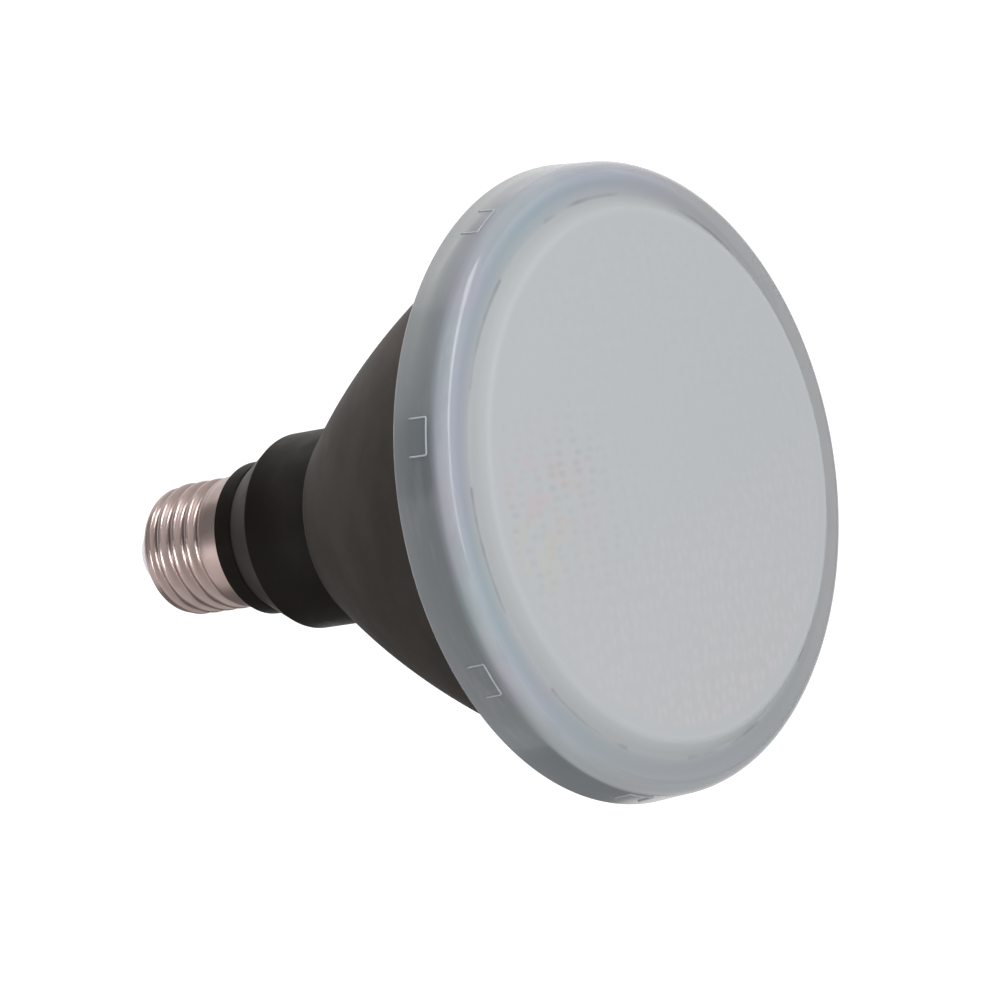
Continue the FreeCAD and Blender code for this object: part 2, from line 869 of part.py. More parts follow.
# From the top of the driver board through the lead hole to the connector
def make_output_lead(side):
    x = side * output_lead_x
    y = board_face + output_lead_r
    height = board_top_z + connector_floor + connector_way / 2
    end_y = connector_y + connector_depth / 2 - output_lead_entry
    route = [(x, y, driver_board_top_z - output_lead_lap), (x, y, height), (x, end_y, height)]
    return wire(route, output_lead_r, lead_bend)


def keep(name, shape):
    shape.exportStep("parts/" + name + ".step")


os.makedirs("parts", exist_ok=True)
keep("centre_contact", make_centre_contact())
keep("cap_insulator", make_cap_insulator())
keep("screw_shell", make_screw_shell())
keep("neck_housing", make_neck_housing())
keep("neck_screws", make_screws(neck_screw_places(), neck_screw_length, ledge_z + flange_thick))
keep("bell_housing", make_bell_housing())
keep("driver_board", make_driver_board())
keep("driver_cover", make_driver_cover())
keep("transformer_core", make_transformer_core())
keep("transformer_winding", make_transformer_winding())
keep("input_capacitor", can_capacitor(input_capacitor_r, input_capacitor_length, input_capacitor_x))
keep("output_capacitor", can_capacitor(output_capacitor_r, output_capacitor_length, output_capacitor_x))
keep("filter_inductor", make_filter_inductor())
keep("film_capacitor", make_film_capacitor())
keep("bridge_rectifier", package(bridge_width, bridge_height, bridge_thick, bridge_legs,
                                 bridge_leg_pitch, bridge_z))
keep("control_chip", package(chip_width, chip_height, chip_thick, chip_legs, chip_leg_pitch, chip_z))
keep("fuse_resistor", make_fuse_resistor())
keep("live_lead", make_live_lead())
keep("neutral_lead", make_neutral_lead())
keep("positive_lead", make_output_lead(1))
keep("negative_lead", make_output_lead(-1))
keep("heat_plate", make_heat_plate())
keep("plate_screws", make_screws(plate_screw_places(), plate_screw_length, plate_top_z))
keep("thermal_pad", drilled_disc(light_board_r() - pad_inset, plate_top_z, board_z))
keep("led_board", drilled_disc(light_board_r(), board_z, board_top_z))
keep("leds", make_leds())
keep("board_connector", make_board_connector())
keep("board_screws", make_screws(board_screw_places(), board_screw_length, board_top_z))
keep("reflector", make_reflector())
keep("lens_gasket", make_lens_gasket())
keep("lens_cover", make_lens_cover())
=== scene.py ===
import math
import bmesh
import bpy
import numpy as np
from mathutils import Matrix, Vector


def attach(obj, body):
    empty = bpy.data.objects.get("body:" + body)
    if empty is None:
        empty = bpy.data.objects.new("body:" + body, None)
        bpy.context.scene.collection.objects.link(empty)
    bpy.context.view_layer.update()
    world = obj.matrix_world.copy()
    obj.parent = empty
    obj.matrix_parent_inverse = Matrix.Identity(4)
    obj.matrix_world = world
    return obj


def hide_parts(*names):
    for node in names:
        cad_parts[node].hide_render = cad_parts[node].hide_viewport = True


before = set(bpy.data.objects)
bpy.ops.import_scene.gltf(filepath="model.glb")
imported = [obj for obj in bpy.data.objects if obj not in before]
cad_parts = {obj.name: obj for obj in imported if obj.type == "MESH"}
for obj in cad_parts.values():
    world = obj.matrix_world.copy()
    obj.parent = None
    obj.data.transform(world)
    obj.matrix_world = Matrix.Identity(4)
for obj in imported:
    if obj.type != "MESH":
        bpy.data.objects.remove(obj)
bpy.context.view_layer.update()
mm = 0.001                       # sizes of the bulb are in millimetres, those of the studio in metres


# Puts an object with this data in the scene
def placed(name, data):
    made = bpy.data.objects.new(name, data)
    bpy.context.scene.collection.objects.link(made)
    return made


# A grid of points becomes quads; the ends meet along either way where it is asked,
# and doubles are merged, so that seams and poles close
def gridMesh(name, points, closeAround=True, closeAlong=False):
    around, along = points.shape[:2]
    number = np.arange(around * along).reshape(around, along)
    if closeAround:
        number = np.vstack([number, number[:1]])
    if closeAlong:
        number = np.hstack([number, number[:, :1]])
    corners = (number[:-1, :-1], number[1:, :-1], number[1:, 1:], number[:-1, 1:])
    quads = np.stack([corner.ravel() for corner in corners], axis=1)
    mesh = bpy.data.meshes.new(name)
    mesh.from_pydata((points.reshape(-1, 3) * mm).tolist(), [], quads.tolist())
    built = bmesh.new()
    built.from_mesh(mesh)
    bmesh.ops.remove_doubles(built, verts=built.verts, dist=1e-7)
    bmesh.ops.recalc_face_normals(built, faces=built.faces)
    built.to_mesh(mesh)
    built.free()
    mesh.polygons.foreach_set("use_smooth", np.ones(len(mesh.polygons), bool))
    return placed(name, mesh)


# Each open end of a piece gets one face, and all faces point outwards
def closeEnds(piece):
    built = bmesh.new()
    built.from_mesh(piece.data)
    bmesh.ops.holes_fill(built, edges=[edge for edge in built.edges if edge.is_boundary])
    bmesh.ops.recalc_face_normals(built, faces=built.faces)
    built.to_mesh(piece.data)
    built.free()
    return piece


# Corners (radius, height, fillet) become points: each fillet is the arc of that radius
# which touches the runs on both sides of its corner
def softened(corners, flats=6, closed=True):
    places = np.array([corner[:2] for corner in corners], float)
    fillets = [corner[2] if len(corner) > 2 else 0.0 for corner in corners]
    points = []
    for i, (place, fillet) in enumerate(zip(places, fillets)):
        ends = not closed and i in (0, len(places) - 1)
        if ends or fillet <= 0:
            points.append(place)
            continue
        back = places[i - 1] - place
        ahead = places[(i + 1) % len(places)] - place
        back, ahead = back / np.linalg.norm(back), ahead / np.linalg.norm(ahead)
        half = math.acos(np.clip(back @ ahead, -1, 1)) / 2
        reach = fillet / math.tan(half)
        middle = (back + ahead) / np.linalg.norm(back + ahead)
        centre = place + middle * fillet / math.sin(half)
        first, last = place + back * reach - centre, place + ahead * reach - centre
        sweep = math.pi - 2 * half
        share = np.linspace(0, 1, flats + 1)[:, None]
        arc = (first * np.sin((1 - share) * sweep) + last * np.sin(share * sweep)) / math.sin(sweep)
        points.extend(centre + arc)
    return np.array(points)


# A profile turned about the axis: point j of step i lies at the profile's radius and height,
# at the angle first + i / steps of the sweep; a part turn gets its two end faces
def lathe(name, profile, steps=256, closed=True, first=0.0, sweep=360.0):
    whole = sweep >= 360
    angle = np.radians(first + sweep * np.arange(steps + (not whole)) / steps)[:, None]
    radius, height = profile[:, 0][None], profile[:, 1][None]
    points = np.stack([radius * np.cos(angle), radius * np.sin(angle), height + 0 * angle], axis=2)
    piece = gridMesh(name, points, closeAround=whole, closeAlong=closed)
    return piece if whole else closeEnds(piece)


# Several pieces become one: their meshes follow one another in a single mesh
def joined(name, pieces):
    mesh = bpy.data.meshes.new(name)
    built = bmesh.new()
    for piece in pieces:
        built.from_mesh(piece.data)
    built.to_mesh(mesh)
    built.free()
    for piece in pieces:
        bpy.data.objects.remove(piece)
    return placed(name, mesh)


# Points turned about the axis by an angle in degrees
def turnedPoints(points, degrees):
    c, s = math.cos(math.radians(degrees)), math.sin(math.radians(degrees))
    return points @ np.array([[c, s, 0], [-s, c, 0], [0, 0, 1]])


# A finished piece rides on the one body, and stands for the nodes that are named
def rideRoot(piece, slot, finish, *nodes):
    piece.data.materials.clear()
    piece.data.materials.append(finish)
    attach(piece, "root")
    if nodes:
        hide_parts(*nodes)
    return piece


# Wraps an output socket, so that an expression on it adds its Math nodes
class Wire:
    def __init__(self, nodes, socket):
        self.nodes, self.socket = nodes, socket

    def maths(self, operation, *values):
        return self.nodes.node("ShaderNodeMath", {"operation": operation}, values)

    def __add__(self, other):
        return self.maths("ADD", self, other)

    def __radd__(self, other):
        return self.maths("ADD", other, self)

    def __sub__(self, other):
        return self.maths("SUBTRACT", self, other)

    def __rsub__(self, other):
        return self.maths("SUBTRACT", other, self)

    def __mul__(self, other):
        return self.maths("MULTIPLY", self, other)

    def __rmul__(self, other):
        return self.maths("MULTIPLY", other, self)

    def __truediv__(self, other):
        return self.maths("DIVIDE", self, other)

    def __rtruediv__(self, other):
        return self.maths("DIVIDE", other, self)

    def __pow__(self, other):
        return self.maths("POWER", self, other)

    def __rpow__(self, other):
        return self.maths("POWER", other, self)


# The nodes of a material or of the world
class Nodes:
    def __init__(self, owner):
        owner.use_nodes = True
        self.tree = owner.node_tree
        self.tree.nodes.clear()

    # Any node: its settings are set first, then its sockets get values or links
    def node(self, kind, settings=None, inputs=(), output=0):
        made = self.tree.nodes.new(kind)
        for key, value in (settings or {}).items():
            if key == "stops":
                self.setStops(made.color_ramp.elements, value)
            else:
                setattr(made, key, value)
        pairs = inputs.items() if isinstance(inputs, dict) else enumerate(inputs)
        for key, value in pairs:
            socket = made.inputs[key]
            if isinstance(value, Wire):
                self.tree.links.new(value.socket, socket)
            elif socket.type == "RGBA":
                socket.default_value = (*value, 1)
            else:
                socket.default_value = value
        return Wire(self, made.outputs[output]) if made.outputs else None

    # Stops of a ramp: a place from 0 to 1, with a colour or the number of a grey
    def setStops(self, elements, stops):
        for place, tone in stops[2:]:
            elements.new(place)
        for element, (place, tone) in zip(elements, stops):
            element.position = place
            element.color = (*tone, 1) if isinstance(tone, tuple) else (tone, tone, tone, 1)

    # 0 below one value, 1 above the other, eased between
    def step(self, value, low, high):
        return self.node("ShaderNodeMapRange", {"interpolation_type": "SMOOTHSTEP"},
                         {"Value": value, "From Min": low, "From Max": high})

    # One colour at share 0 and another at share 1; the Mix node has its colours in sockets 6 and 7
    def blend(self, share, first, second):
        return self.node("ShaderNodeMix", {"data_type": "RGBA"},
                         {0: share, 6: first, 7: second}, output=2)

    # The same for numbers, which the Mix node has in sockets 2 and 3
    def between(self, share, first, second):
        return self.node("ShaderNodeMix", {"data_type": "FLOAT"}, {0: share, 2: first, 3: second})

    # 1 for what is seen directly, in a mirror or through glass, and 0 for what only lights
    def looked(self):
        camera, glossy, glass = [self.node("ShaderNodeLightPath", output=f"Is {ray} Ray")
                                 for ray in ("Camera", "Glossy", "Transmission")]
        return self.node("ShaderNodeMath", {"operation": "ADD", "use_clamp": True},
                         [camera + glossy, glass])


# One material, with patterns whose sizes are in millimetres
class Finish(Nodes):
    def __init__(self, name):
        self.material = bpy.data.materials.new(name)
        super().__init__(self.material)
        self.place = self.node("ShaderNodeTexCoord", output="Object")

    # Noise with its size in millimetres; stretch slows it along an axis
    def noise(self, size, detail=3.0, stretch=(1, 1, 1), roughness=0.55):
        spot = self.node("ShaderNodeMapping", {}, {"Vector": self.place, "Scale": stretch})
        return self.node("ShaderNodeTexNoise", {}, {"Vector": spot, "Scale": 1 / (size * mm),
                                                    "Detail": detail, "Roughness": roughness})

    # Distance from the nearest point of a flat net, in cells of these sizes along x and y
    def net(self, alongX, alongY, randomness):
        spot = self.node("ShaderNodeMapping", {}, {"Vector": self.place,
                                                   "Scale": (1 / (alongX * mm), 1 / (alongY * mm), 0)})
        return self.node("ShaderNodeTexVoronoi", {"feature": "F1", "voronoi_dimensions": "2D"},
                         {"Vector": spot, "Scale": 1.0, "Randomness": randomness})

    # x, y, distance from the bulb's axis and height in millimetres, and side, which is y over
    # that distance: 1 at the upper side of the bulb as it lies, -1 at its underside
    def places(self):
        x, y, height = [self.node("ShaderNodeSeparateXYZ", {}, {0: self.place}, output=axis) * (1 / mm)
                        for axis in "XYZ"]
        ring = (x * x + y * y) ** 0.5
        return x, y, ring, height, y / ring

    # A normal from a height: the surface rises by depth where height is 1
    def bump(self, height, depth, strength=1.0):
        return self.node("ShaderNodeBump", {}, {"Height": height, "Distance": depth * mm,
                                                "Strength": strength})

    # Colour or number by a value's place between stops
    def ramp(self, value, stops):
        return self.node("ShaderNodeValToRGB", {"stops": stops}, {0: value})

    # Puts the shader in the material's output and gives the material back
    def shown(self, shader):
        self.node("ShaderNodeOutputMaterial", {}, {"Surface": shader})
        return self.material

    # The same with a Principled shader; an underscore stands for a space in its sockets' names
    def surface(self, **sockets):
        named = {key.replace("_", " "): value for key, value in sockets.items()}
        return self.shown(self.node("ShaderNodeBsdfPrincipled", {}, named))


# A colour written as it looks on a screen, 0 to 255, in the linear values a shader takes
def screen(red, green, blue):
    values = np.array([red, green, blue]) / 255
    linear = np.where(values <= 0.04045, values / 12.92, ((values + 0.055) / 1.055) ** 2.4)
    return tuple(float(value) for value in linear)


# A finish for small parts: patches of two tones, a roughness that goes 0.07 either way
# with a noise of half their size, and fine grain as bump
def moulded(name, colour, other, roughness, grain=0.4, depth=0.01, size=6.0, metallic=0.0, coat=0.0):
    finish = Finish(name)
    patches = finish.step(finish.noise(size), 0.35, 0.65)
    return finish.surface(Base_Color=finish.blend(patches, colour, other),
                          Roughness=finish.noise(size / 2) * 0.14 + (roughness - 0.07),
                          Metallic=metallic, Coat_Weight=coat, Coat_Roughness=0.12,
                          Normal=finish.bump(finish.noise(grain, detail=2.0), depth))


cap = {"edgeRadius": 10.4, "edgeHeight": 7.0, "shoulderHeight": 8.8, "crest": 13.1, "root": 12.15,
       "pitch": 3.629, "threadEnd": 24.4, "skirt": 13.2, "skirtFoot": 25.2, "top": 29.3, "wall": 0.4,
       "stepsRound": 340, "shoulderRows": 10, "threadRows": 170, "skirtRows": 5,
       "plate": screen(166, 149, 145), "otherPlate": screen(156, 137, 132),
       "grooveShade": screen(114, 100, 96), "speck": screen(134, 114, 108)}


# Eased from 0 to 1: three times the square less twice the cube
def eased(share):
    share = np.clip(share, 0, 1)
    return share ** 2 * (3 - 2 * share)


# Radius of the rolled shell: a quarter ellipse up to the shoulder, then equal arcs for crest
# and root that repeat each pitch along the helix, fading out into the plain skirt
def shellRadius(angle, height):
    middle = (cap["crest"] + cap["root"]) / 2
    half = (cap["crest"] - cap["root"]) / 2
    quarter = cap["pitch"] / 4
    arc = (quarter ** 2 + half ** 2) / (2 * half)
    offset = (height - cap["pitch"] * angle / (2 * np.pi)) % cap["pitch"]
    offset = np.minimum(offset, cap["pitch"] - offset)
    crest = half - arc + np.sqrt(np.maximum(arc ** 2 - np.minimum(offset, quarter) ** 2, 0))
    valley = arc - half - np.sqrt(np.maximum(arc ** 2 - np.minimum(2 * quarter - offset, quarter) ** 2, 0))
    wave = np.where(offset <= quarter, crest, valley)
    rising = eased((height - cap["shoulderHeight"]) / (cap["pitch"] / 2))
    ending = eased((cap["threadEnd"] - height) / (cap["pitch"] / 2))
    radius = middle + (cap["skirt"] - middle) * (1 - ending)
    below = np.clip((cap["shoulderHeight"] - height) / (cap["shoulderHeight"] - cap["edgeHeight"]), 0, 1)
    radius = radius - (middle - cap["edgeRadius"]) * (1 - np.sqrt(1 - below ** 2))
    return radius + rising * ending * wave


# The shell's radius on rows from the edge to the top, and back down a wall further in
# on every third row
def makeShell():
    turn = np.radians(90 * (1 - np.arange(cap["shoulderRows"]) / cap["shoulderRows"]))
    shoulder = cap["shoulderHeight"] - (cap["shoulderHeight"] - cap["edgeHeight"]) * np.sin(turn)
    thread = np.linspace(cap["shoulderHeight"], cap["threadEnd"], cap["threadRows"])
    skirt = np.linspace(cap["skirtFoot"], cap["top"], cap["skirtRows"])
    rows = np.concatenate([shoulder, thread, skirt])
    back = rows[::-3]
    angle = (2 * np.pi * np.arange(cap["stepsRound"]) / cap["stepsRound"])[:, None]
    outside = shellRadius(angle, rows[None])
    inside = shellRadius(angle, back[None]) - cap["wall"]
    radius = np.hstack([outside, inside])
    height = np.concatenate([rows, back])[None] + 0 * angle
    points = np.stack([radius * np.cos(angle), radius * np.sin(angle), height], axis=2)
    return gridMesh("screwShell", points, closeAlong=True)


# Pinkish nickel with fine lines drawn round it, with painted shade in the grooves, and darker at small
# specks
def nickelFinish():
    finish = Finish("nickelPlate")
    ring = finish.places()[2]
    tint = finish.step(finish.noise(7.0), 0.3, 0.7)
    drawn = finish.noise(1.0, detail=2.0, stretch=(0.25, 0.25, 5.0))
    specks = finish.step(finish.noise(0.9, detail=4.0), 0.62, 0.78)
    # Painted shade: the plating is darker down in the grooves of the thread
    grooveShade = 1 - finish.step(ring, cap["root"] + 0.05, cap["crest"] - 0.25)
    colour = finish.blend(tint, cap["plate"], cap["otherPlate"])
    colour = finish.blend(grooveShade * 0.3, colour, cap["grooveShade"])
    colour = finish.blend(specks * 0.35, colour, cap["speck"])
    return finish.surface(Base_Color=colour, Metallic=1.0,
                          Roughness=drawn * 0.06 + tint * 0.04 + 0.25,
                          Normal=finish.bump(drawn, 0.0004))


rideRoot(makeShell(), "nickel", nickelFinish(), "screw_shell")

# The contact's face falls off by the two sags towards its rounded edge
contact = {"face": 3.2, "faceSag": 0.02, "bend": 4.9, "bendSag": 0.28, "radius": 5.5, "edge": 0.75,
           "under": 1.4, "pin": 1.1, "pinTop": 10.8,
           "tin": screen(196, 190, 182), "dullTin": screen(176, 168, 158)}
contactProfile = softened([
    (0, 0), (contact["face"], contact["faceSag"], 1.0), (contact["bend"], contact["bendSag"], 0.8),
    (contact["radius"], contact["edge"], 0.35), (contact["radius"], contact["under"]),
    (contact["pin"], contact["under"]), (contact["pin"], contact["pinTop"]), (0, contact["pinTop"])],
    closed=False)
rideRoot(lathe("centreContact", contactProfile, 128, closed=False), "contact",
         moulded("contactTin", contact["tin"], contact["dullTin"], 0.36, grain=0.5, depth=0.03, size=2.0,
                 metallic=1.0), "centre_contact")

insulator = {"base": 6.2, "waist": 8.3, "waistHeight": 3.9, "shoulder": 6.6, "plug": 9.8, "plugTop": 9.6,
             "glaze": screen(178, 176, 171), "otherGlaze": screen(166, 165, 160)}
insulatorProfile = softened([
    (contact["pin"], contact["under"]), (insulator["base"], contact["under"], 0.4),
    (insulator["waist"], insulator["waistHeight"], 0.8), (cap["edgeRadius"], insulator["shoulder"], 0.2),
    (cap["edgeRadius"], cap["edgeHeight"]), (insulator["plug"], cap["edgeHeight"]),
    (insulator["plug"], insulator["plugTop"]), (contact["pin"], insulator["plugTop"])])
rideRoot(lathe("capInsulator", insulatorProfile, 160), "insulator",
         moulded("insulatorGlaze", insulator["glaze"], insulator["otherGlaze"], 0.25, grain=0.6, coat=0.3),
         "cap_insulator")
print("screw cap made")


neck = {"stub": 11.5, "stubBore": 9.9, "stubFoot": 11.6, "ringFoot": 29.3, "ring": 15.1, "ringTop": 33.4,
        "ringSlope": 0.3, "flareFoot": 14.9, "collar": 19.25, "collarFoot": 41.3, "ledge": 66.6,
        "flange": 25.1, "flangeTop": 69.1, "tubeTop": 96.6, "tubeBore": 17.25, "tubeFoot": 43.3,
        "plastic": screen(28, 24, 21), "otherPlastic": screen(25, 22, 19),
        "flareLitTone": screen(51, 47, 44), "flareUpperLitTone": screen(78, 74, 71)}
neckProfile = softened([
    (neck["stubBore"], neck["stubFoot"]), (neck["stub"], neck["stubFoot"]),
    (neck["stub"], neck["ringFoot"]),
    (neck["ring"], neck["ringFoot"], 0.2), (neck["ring"], neck["ringTop"] - neck["ringSlope"], 0.2),
    (neck["flareFoot"], neck["ringTop"], 0.15), (neck["collar"], neck["collarFoot"], 0.7),
    (neck["collar"], neck["ledge"]), (neck["flange"], neck["ledge"]), (neck["flange"], neck["flangeTop"]),
    (neck["collar"], neck["flangeTop"]), (neck["collar"], neck["tubeTop"]),
    (neck["tubeBore"], neck["tubeTop"]), (neck["tubeBore"], neck["tubeFoot"]),
    (neck["stubBore"], neck["ringTop"])])


# The moulded plastic is near black; its flare has painted light, a warm grey that is paler still on its
# upper side
def neckFinish():
    finish = Finish("neckPlastic")
    height, side = finish.places()[3:]
    patches = finish.step(finish.noise(9.0), 0.35, 0.65)
    flare = finish.step(height, neck["ringTop"] + 0.1, neck["ringTop"] + 0.5)
    flare = flare * (1 - finish.step(height, neck["collarFoot"] - 0.5, neck["collarFoot"] + 0.1))
    # Painted light: the flare is a warm grey, paler again on its upper side
    flarePaintedLight = finish.blend(finish.step(side, 0.3, 0.95), neck["flareLitTone"], neck["flareUpperLitTone"])
    colour = finish.blend(flare, finish.blend(patches, neck["plastic"], neck["otherPlastic"]), flarePaintedLight)
    return finish.surface(Base_Color=colour, Roughness=patches * 0.08 + 0.4, Specular_IOR_Level=0.03,
                          Normal=finish.bump(finish.noise(0.35, detail=2.0), 0.012))


rideRoot(lathe("neckHousing", neckProfile, 256), "neck", neckFinish(), "neck_housing")
print("neck made")


bell = {"rearHeight": 58.2, "rearRadius": 21.5, "lip": 0.5, "frontHeight": 116.1, "frontRadius": 53.9,
        "bulge": 2.7, "wall": 1.8, "bore": 19.45, "edge": 0.2, "ledge": 66.6, "shelf": 105.0,
        "shelfRadius": 41.5, "shelfUnder": 101.8, "rim": 57.65, "rimWall": 1.6, "rimEdge": 0.3,
        "rimTop": 123.2, "plateTop": 117.9, "catches": 8, "catchAngle": 167.0,
        "paint": screen(72, 67, 64), "otherPaint": screen(67, 63, 60), "speck": screen(82, 77, 73),
        "lipHighlight": screen(92, 87, 83), "upper": screen(94, 87, 85), "under": screen(60, 56, 53)}
rib = {"radius": 52.45, "wall": 0.95, "top": 124.8, "sink": 0.5, "angle": 26.0}
lug = {"radius": 58.55, "tip": 57.6, "foot": 118.5, "shoulder": 119.63, "top": 121.9, "lap": 0.8,
       "angle": 6.2}
halfSpace = 180 / bell["catches"]                    # half the angle from one catch to the next
catchAngles = [bell["catchAngle"] + 2 * halfSpace * number for number in range(bell["catches"])]


# Radius of the bell at a height: a shallow arc from the lip to the front that stands out
# from its chord by the bulge, less a distance inwards
def bellRadius(height, inset=0.0):
    foot = bell["rearHeight"] + bell["lip"]
    run, rise = bell["frontRadius"] - bell["rearRadius"], bell["frontHeight"] - foot
    chord = math.hypot(run, rise)
    radius = chord ** 2 / (8 * bell["bulge"]) + bell["bulge"] / 2
    centreR = (bell["frontRadius"] + bell["rearRadius"]) / 2 - (radius - bell["bulge"]) * rise / chord
    centreZ = (bell["frontHeight"] + foot) / 2 + (radius - bell["bulge"]) * run / chord
    return centreR + np.sqrt((radius - inset) ** 2 - (height - centreZ) ** 2)


# Points of that arc at even heights from one height to another
def arcRun(first, last, count, inset=0.0):
    height = np.linspace(first, last, count)
    return np.stack([bellRadius(height, inset), height], axis=1)


# From the bore round the lip, which is rounded in two steps, up the outside to the rim, and back
# down the inside over the plate's shelf to the ledge that the neck's flange is screwed to
bellProfile = np.vstack([
    [(bell["bore"], bell["rearHeight"] + bell["edge"]), (bell["bore"] + bell["edge"], bell["rearHeight"]),
     (bell["rearRadius"] - bell["lip"], bell["rearHeight"]),
     (bell["rearRadius"] - bell["lip"] * 0.4, bell["rearHeight"] + bell["lip"] * 0.24),
     (bell["rearRadius"] - bell["lip"] * 0.1, bell["rearHeight"] + bell["lip"] * 0.6)],
    arcRun(bell["rearHeight"] + bell["lip"], bell["frontHeight"], 48),
    [(bell["rim"], bell["frontHeight"]), (bell["rim"], bell["rimTop"] - bell["rimEdge"]),
     (bell["rim"] - bell["rimEdge"], bell["rimTop"]), (bell["rim"] - bell["rimWall"], bell["rimTop"]),
     (bell["rim"] - bell["rimWall"], bell["plateTop"]),
     (bellRadius(bell["frontHeight"], bell["wall"]), bell["plateTop"])],
    arcRun(bell["frontHeight"], bell["shelf"], 8, bell["wall"]),
    [(bell["shelfRadius"], bell["shelf"]), (bell["shelfRadius"], bell["shelfUnder"])],
    arcRun(bell["shelfUnder"], bell["ledge"], 20, bell["wall"]),
    [(bell["bore"], bell["ledge"])]])


# Dark warm grey paint with peel and small specks, a painted highlight at the lip, painted light
# on its upper side and painted shade on its underside
def bellFinish():
    finish = Finish("bellPaint")
    height, side = finish.places()[3:]
    cloud = finish.step(finish.noise(14.0), 0.3, 0.7)
    peel = finish.noise(0.55, detail=2.0)
    speck = finish.step(finish.noise(0.4, detail=3.0), 0.55, 0.75)
    # Painted highlight: a paler line along the rounded lip
    lipHighlight = 1 - finish.step(height, bell["rearHeight"] + 0.3, bell["rearHeight"] + 0.9)
    colour = finish.blend(cloud, bell["paint"], bell["otherPaint"])
    colour = finish.blend(speck * 0.4, colour, bell["speck"])
    colour = finish.blend(lipHighlight * 0.5, colour, bell["lipHighlight"])
    # Painted light: the bell's upper side is paler
    colour = finish.blend(finish.step(side, 0.3, 0.95) * 0.75, colour, bell["upper"])
    # Painted shade: the bell's underside is darker
    colour = finish.blend((1 - finish.step(side, -0.95, -0.5)) * 0.6, colour, bell["under"])
    return finish.surface(Base_Color=colour, Roughness=cloud * 0.08 + peel * 0.1 + 0.5,
                          Specular_IOR_Level=0.02, Normal=finish.bump(peel, 0.02))


bellPaint = bellFinish()
rideRoot(lathe("bellHousing", bellProfile, 320), "bell", bellPaint, "bell_housing")

# A rib stands half way between each two catches
ribProfile = softened([
    (rib["radius"], bell["plateTop"] - rib["sink"]),
    (rib["radius"] + rib["wall"], bell["plateTop"] - rib["sink"]),
    (rib["radius"] + rib["wall"], rib["top"], 0.2), (rib["radius"], rib["top"], 0.2)])
ribs = [lathe("rib", ribProfile, 24, first=angle + halfSpace - rib["angle"] / 2, sweep=rib["angle"])
        for angle in catchAngles]
rideRoot(joined("rimRibs", ribs), "bell", bellPaint)

# A lug laps into the rim and slopes towards the front, so that its catch can slide over it
lugProfile = np.array([
    (bell["rim"] - lug["lap"], lug["foot"]), (lug["radius"], lug["foot"]), (lug["radius"], lug["shoulder"]),
    (lug["tip"], lug["top"]), (bell["rim"] - lug["lap"], lug["top"])])
lugs = [lathe("lug", lugProfile, 8, first=angle - lug["angle"] / 2, sweep=lug["angle"])
        for angle in catchAngles]
rideRoot(joined("rimLugs", lugs), "bell", bellPaint)
print("bell made")


lens = {"rear": 60.5, "rearHeight": 115.6, "shoulder": 59.7, "shoulderHeight": 123.6, "bore": 57.9,
        "annulus": 127.0, "edgeRound": 3.4, "step": 52.6, "stepRun": 2.4, "discEdge": 129.7, "dome": 1.3,
        "disc": 48.6, "floor": 125.2, "tongue": 54.5, "tongueWall": 1.4, "tongueFoot": 120.4,
        "discUnder": 127.9, "footEdge": 0.2, "footChamfer": 0.3, "boreEdge": 0.5,
        "discRun": 1.0, "discRise": 0.06, "domeInset": 3.0}


# The dome is a cap of a sphere over the disc: it falls off with the square of the radius
def domeRun(radius, top):
    return np.stack([radius, top - lens["dome"] * (radius / lens["disc"]) ** 2], axis=1)


# From the bore's foot up the skirt, round the edge, over the annulus and the step to the dome, and
# back along the underside round the tongue that stands in the gasket
edgeFoot = lens["shoulder"] - lens["edgeRound"]      # where the rounded edge meets the annulus
discTop = lens["discEdge"] + lens["dome"]
bend = np.radians(np.linspace(0, 90, 17))
edge = np.stack([lens["shoulder"] - lens["edgeRound"] * (1 - np.cos(bend)),
                 lens["annulus"] - lens["edgeRound"] * (1 - np.sin(bend))], axis=1)
lensProfile = np.vstack([
    softened([(lens["bore"], lens["rearHeight"] + lens["footEdge"], 0.15),
              (lens["bore"] + lens["footChamfer"], lens["rearHeight"], 0.1),
              (lens["rear"], lens["rearHeight"], 0.5), (lens["shoulder"], lens["shoulderHeight"])],
             flats=12, closed=False)[:-1],
    edge,
    softened([(edgeFoot, lens["annulus"]), (lens["step"], lens["annulus"], 0.8),
              (lens["step"] - lens["stepRun"], lens["discEdge"], 2.0),
              (lens["disc"] - lens["discRun"], lens["discEdge"] + lens["discRise"])],
             flats=12, closed=False)[1:],
    domeRun(np.linspace(lens["disc"] - lens["domeInset"], 0, 24), discTop),
    [(0, lens["discUnder"])],
    softened([(0, lens["discUnder"]), (lens["disc"], lens["discUnder"], 1.0),
              (lens["disc"] + lens["stepRun"], lens["floor"], 0.6), (lens["tongue"], lens["floor"], 0.3),
              (lens["tongue"], lens["tongueFoot"], 0.3),
              (lens["tongue"] + lens["tongueWall"], lens["tongueFoot"], 0.3),
              (lens["tongue"] + lens["tongueWall"], lens["floor"], 0.2),
              (edgeFoot, lens["floor"], 0.2), (lens["bore"], lens["shoulderHeight"], 1.0),
              (lens["bore"], lens["rearHeight"] + lens["boreEdge"])], flats=5, closed=False)[1:]])
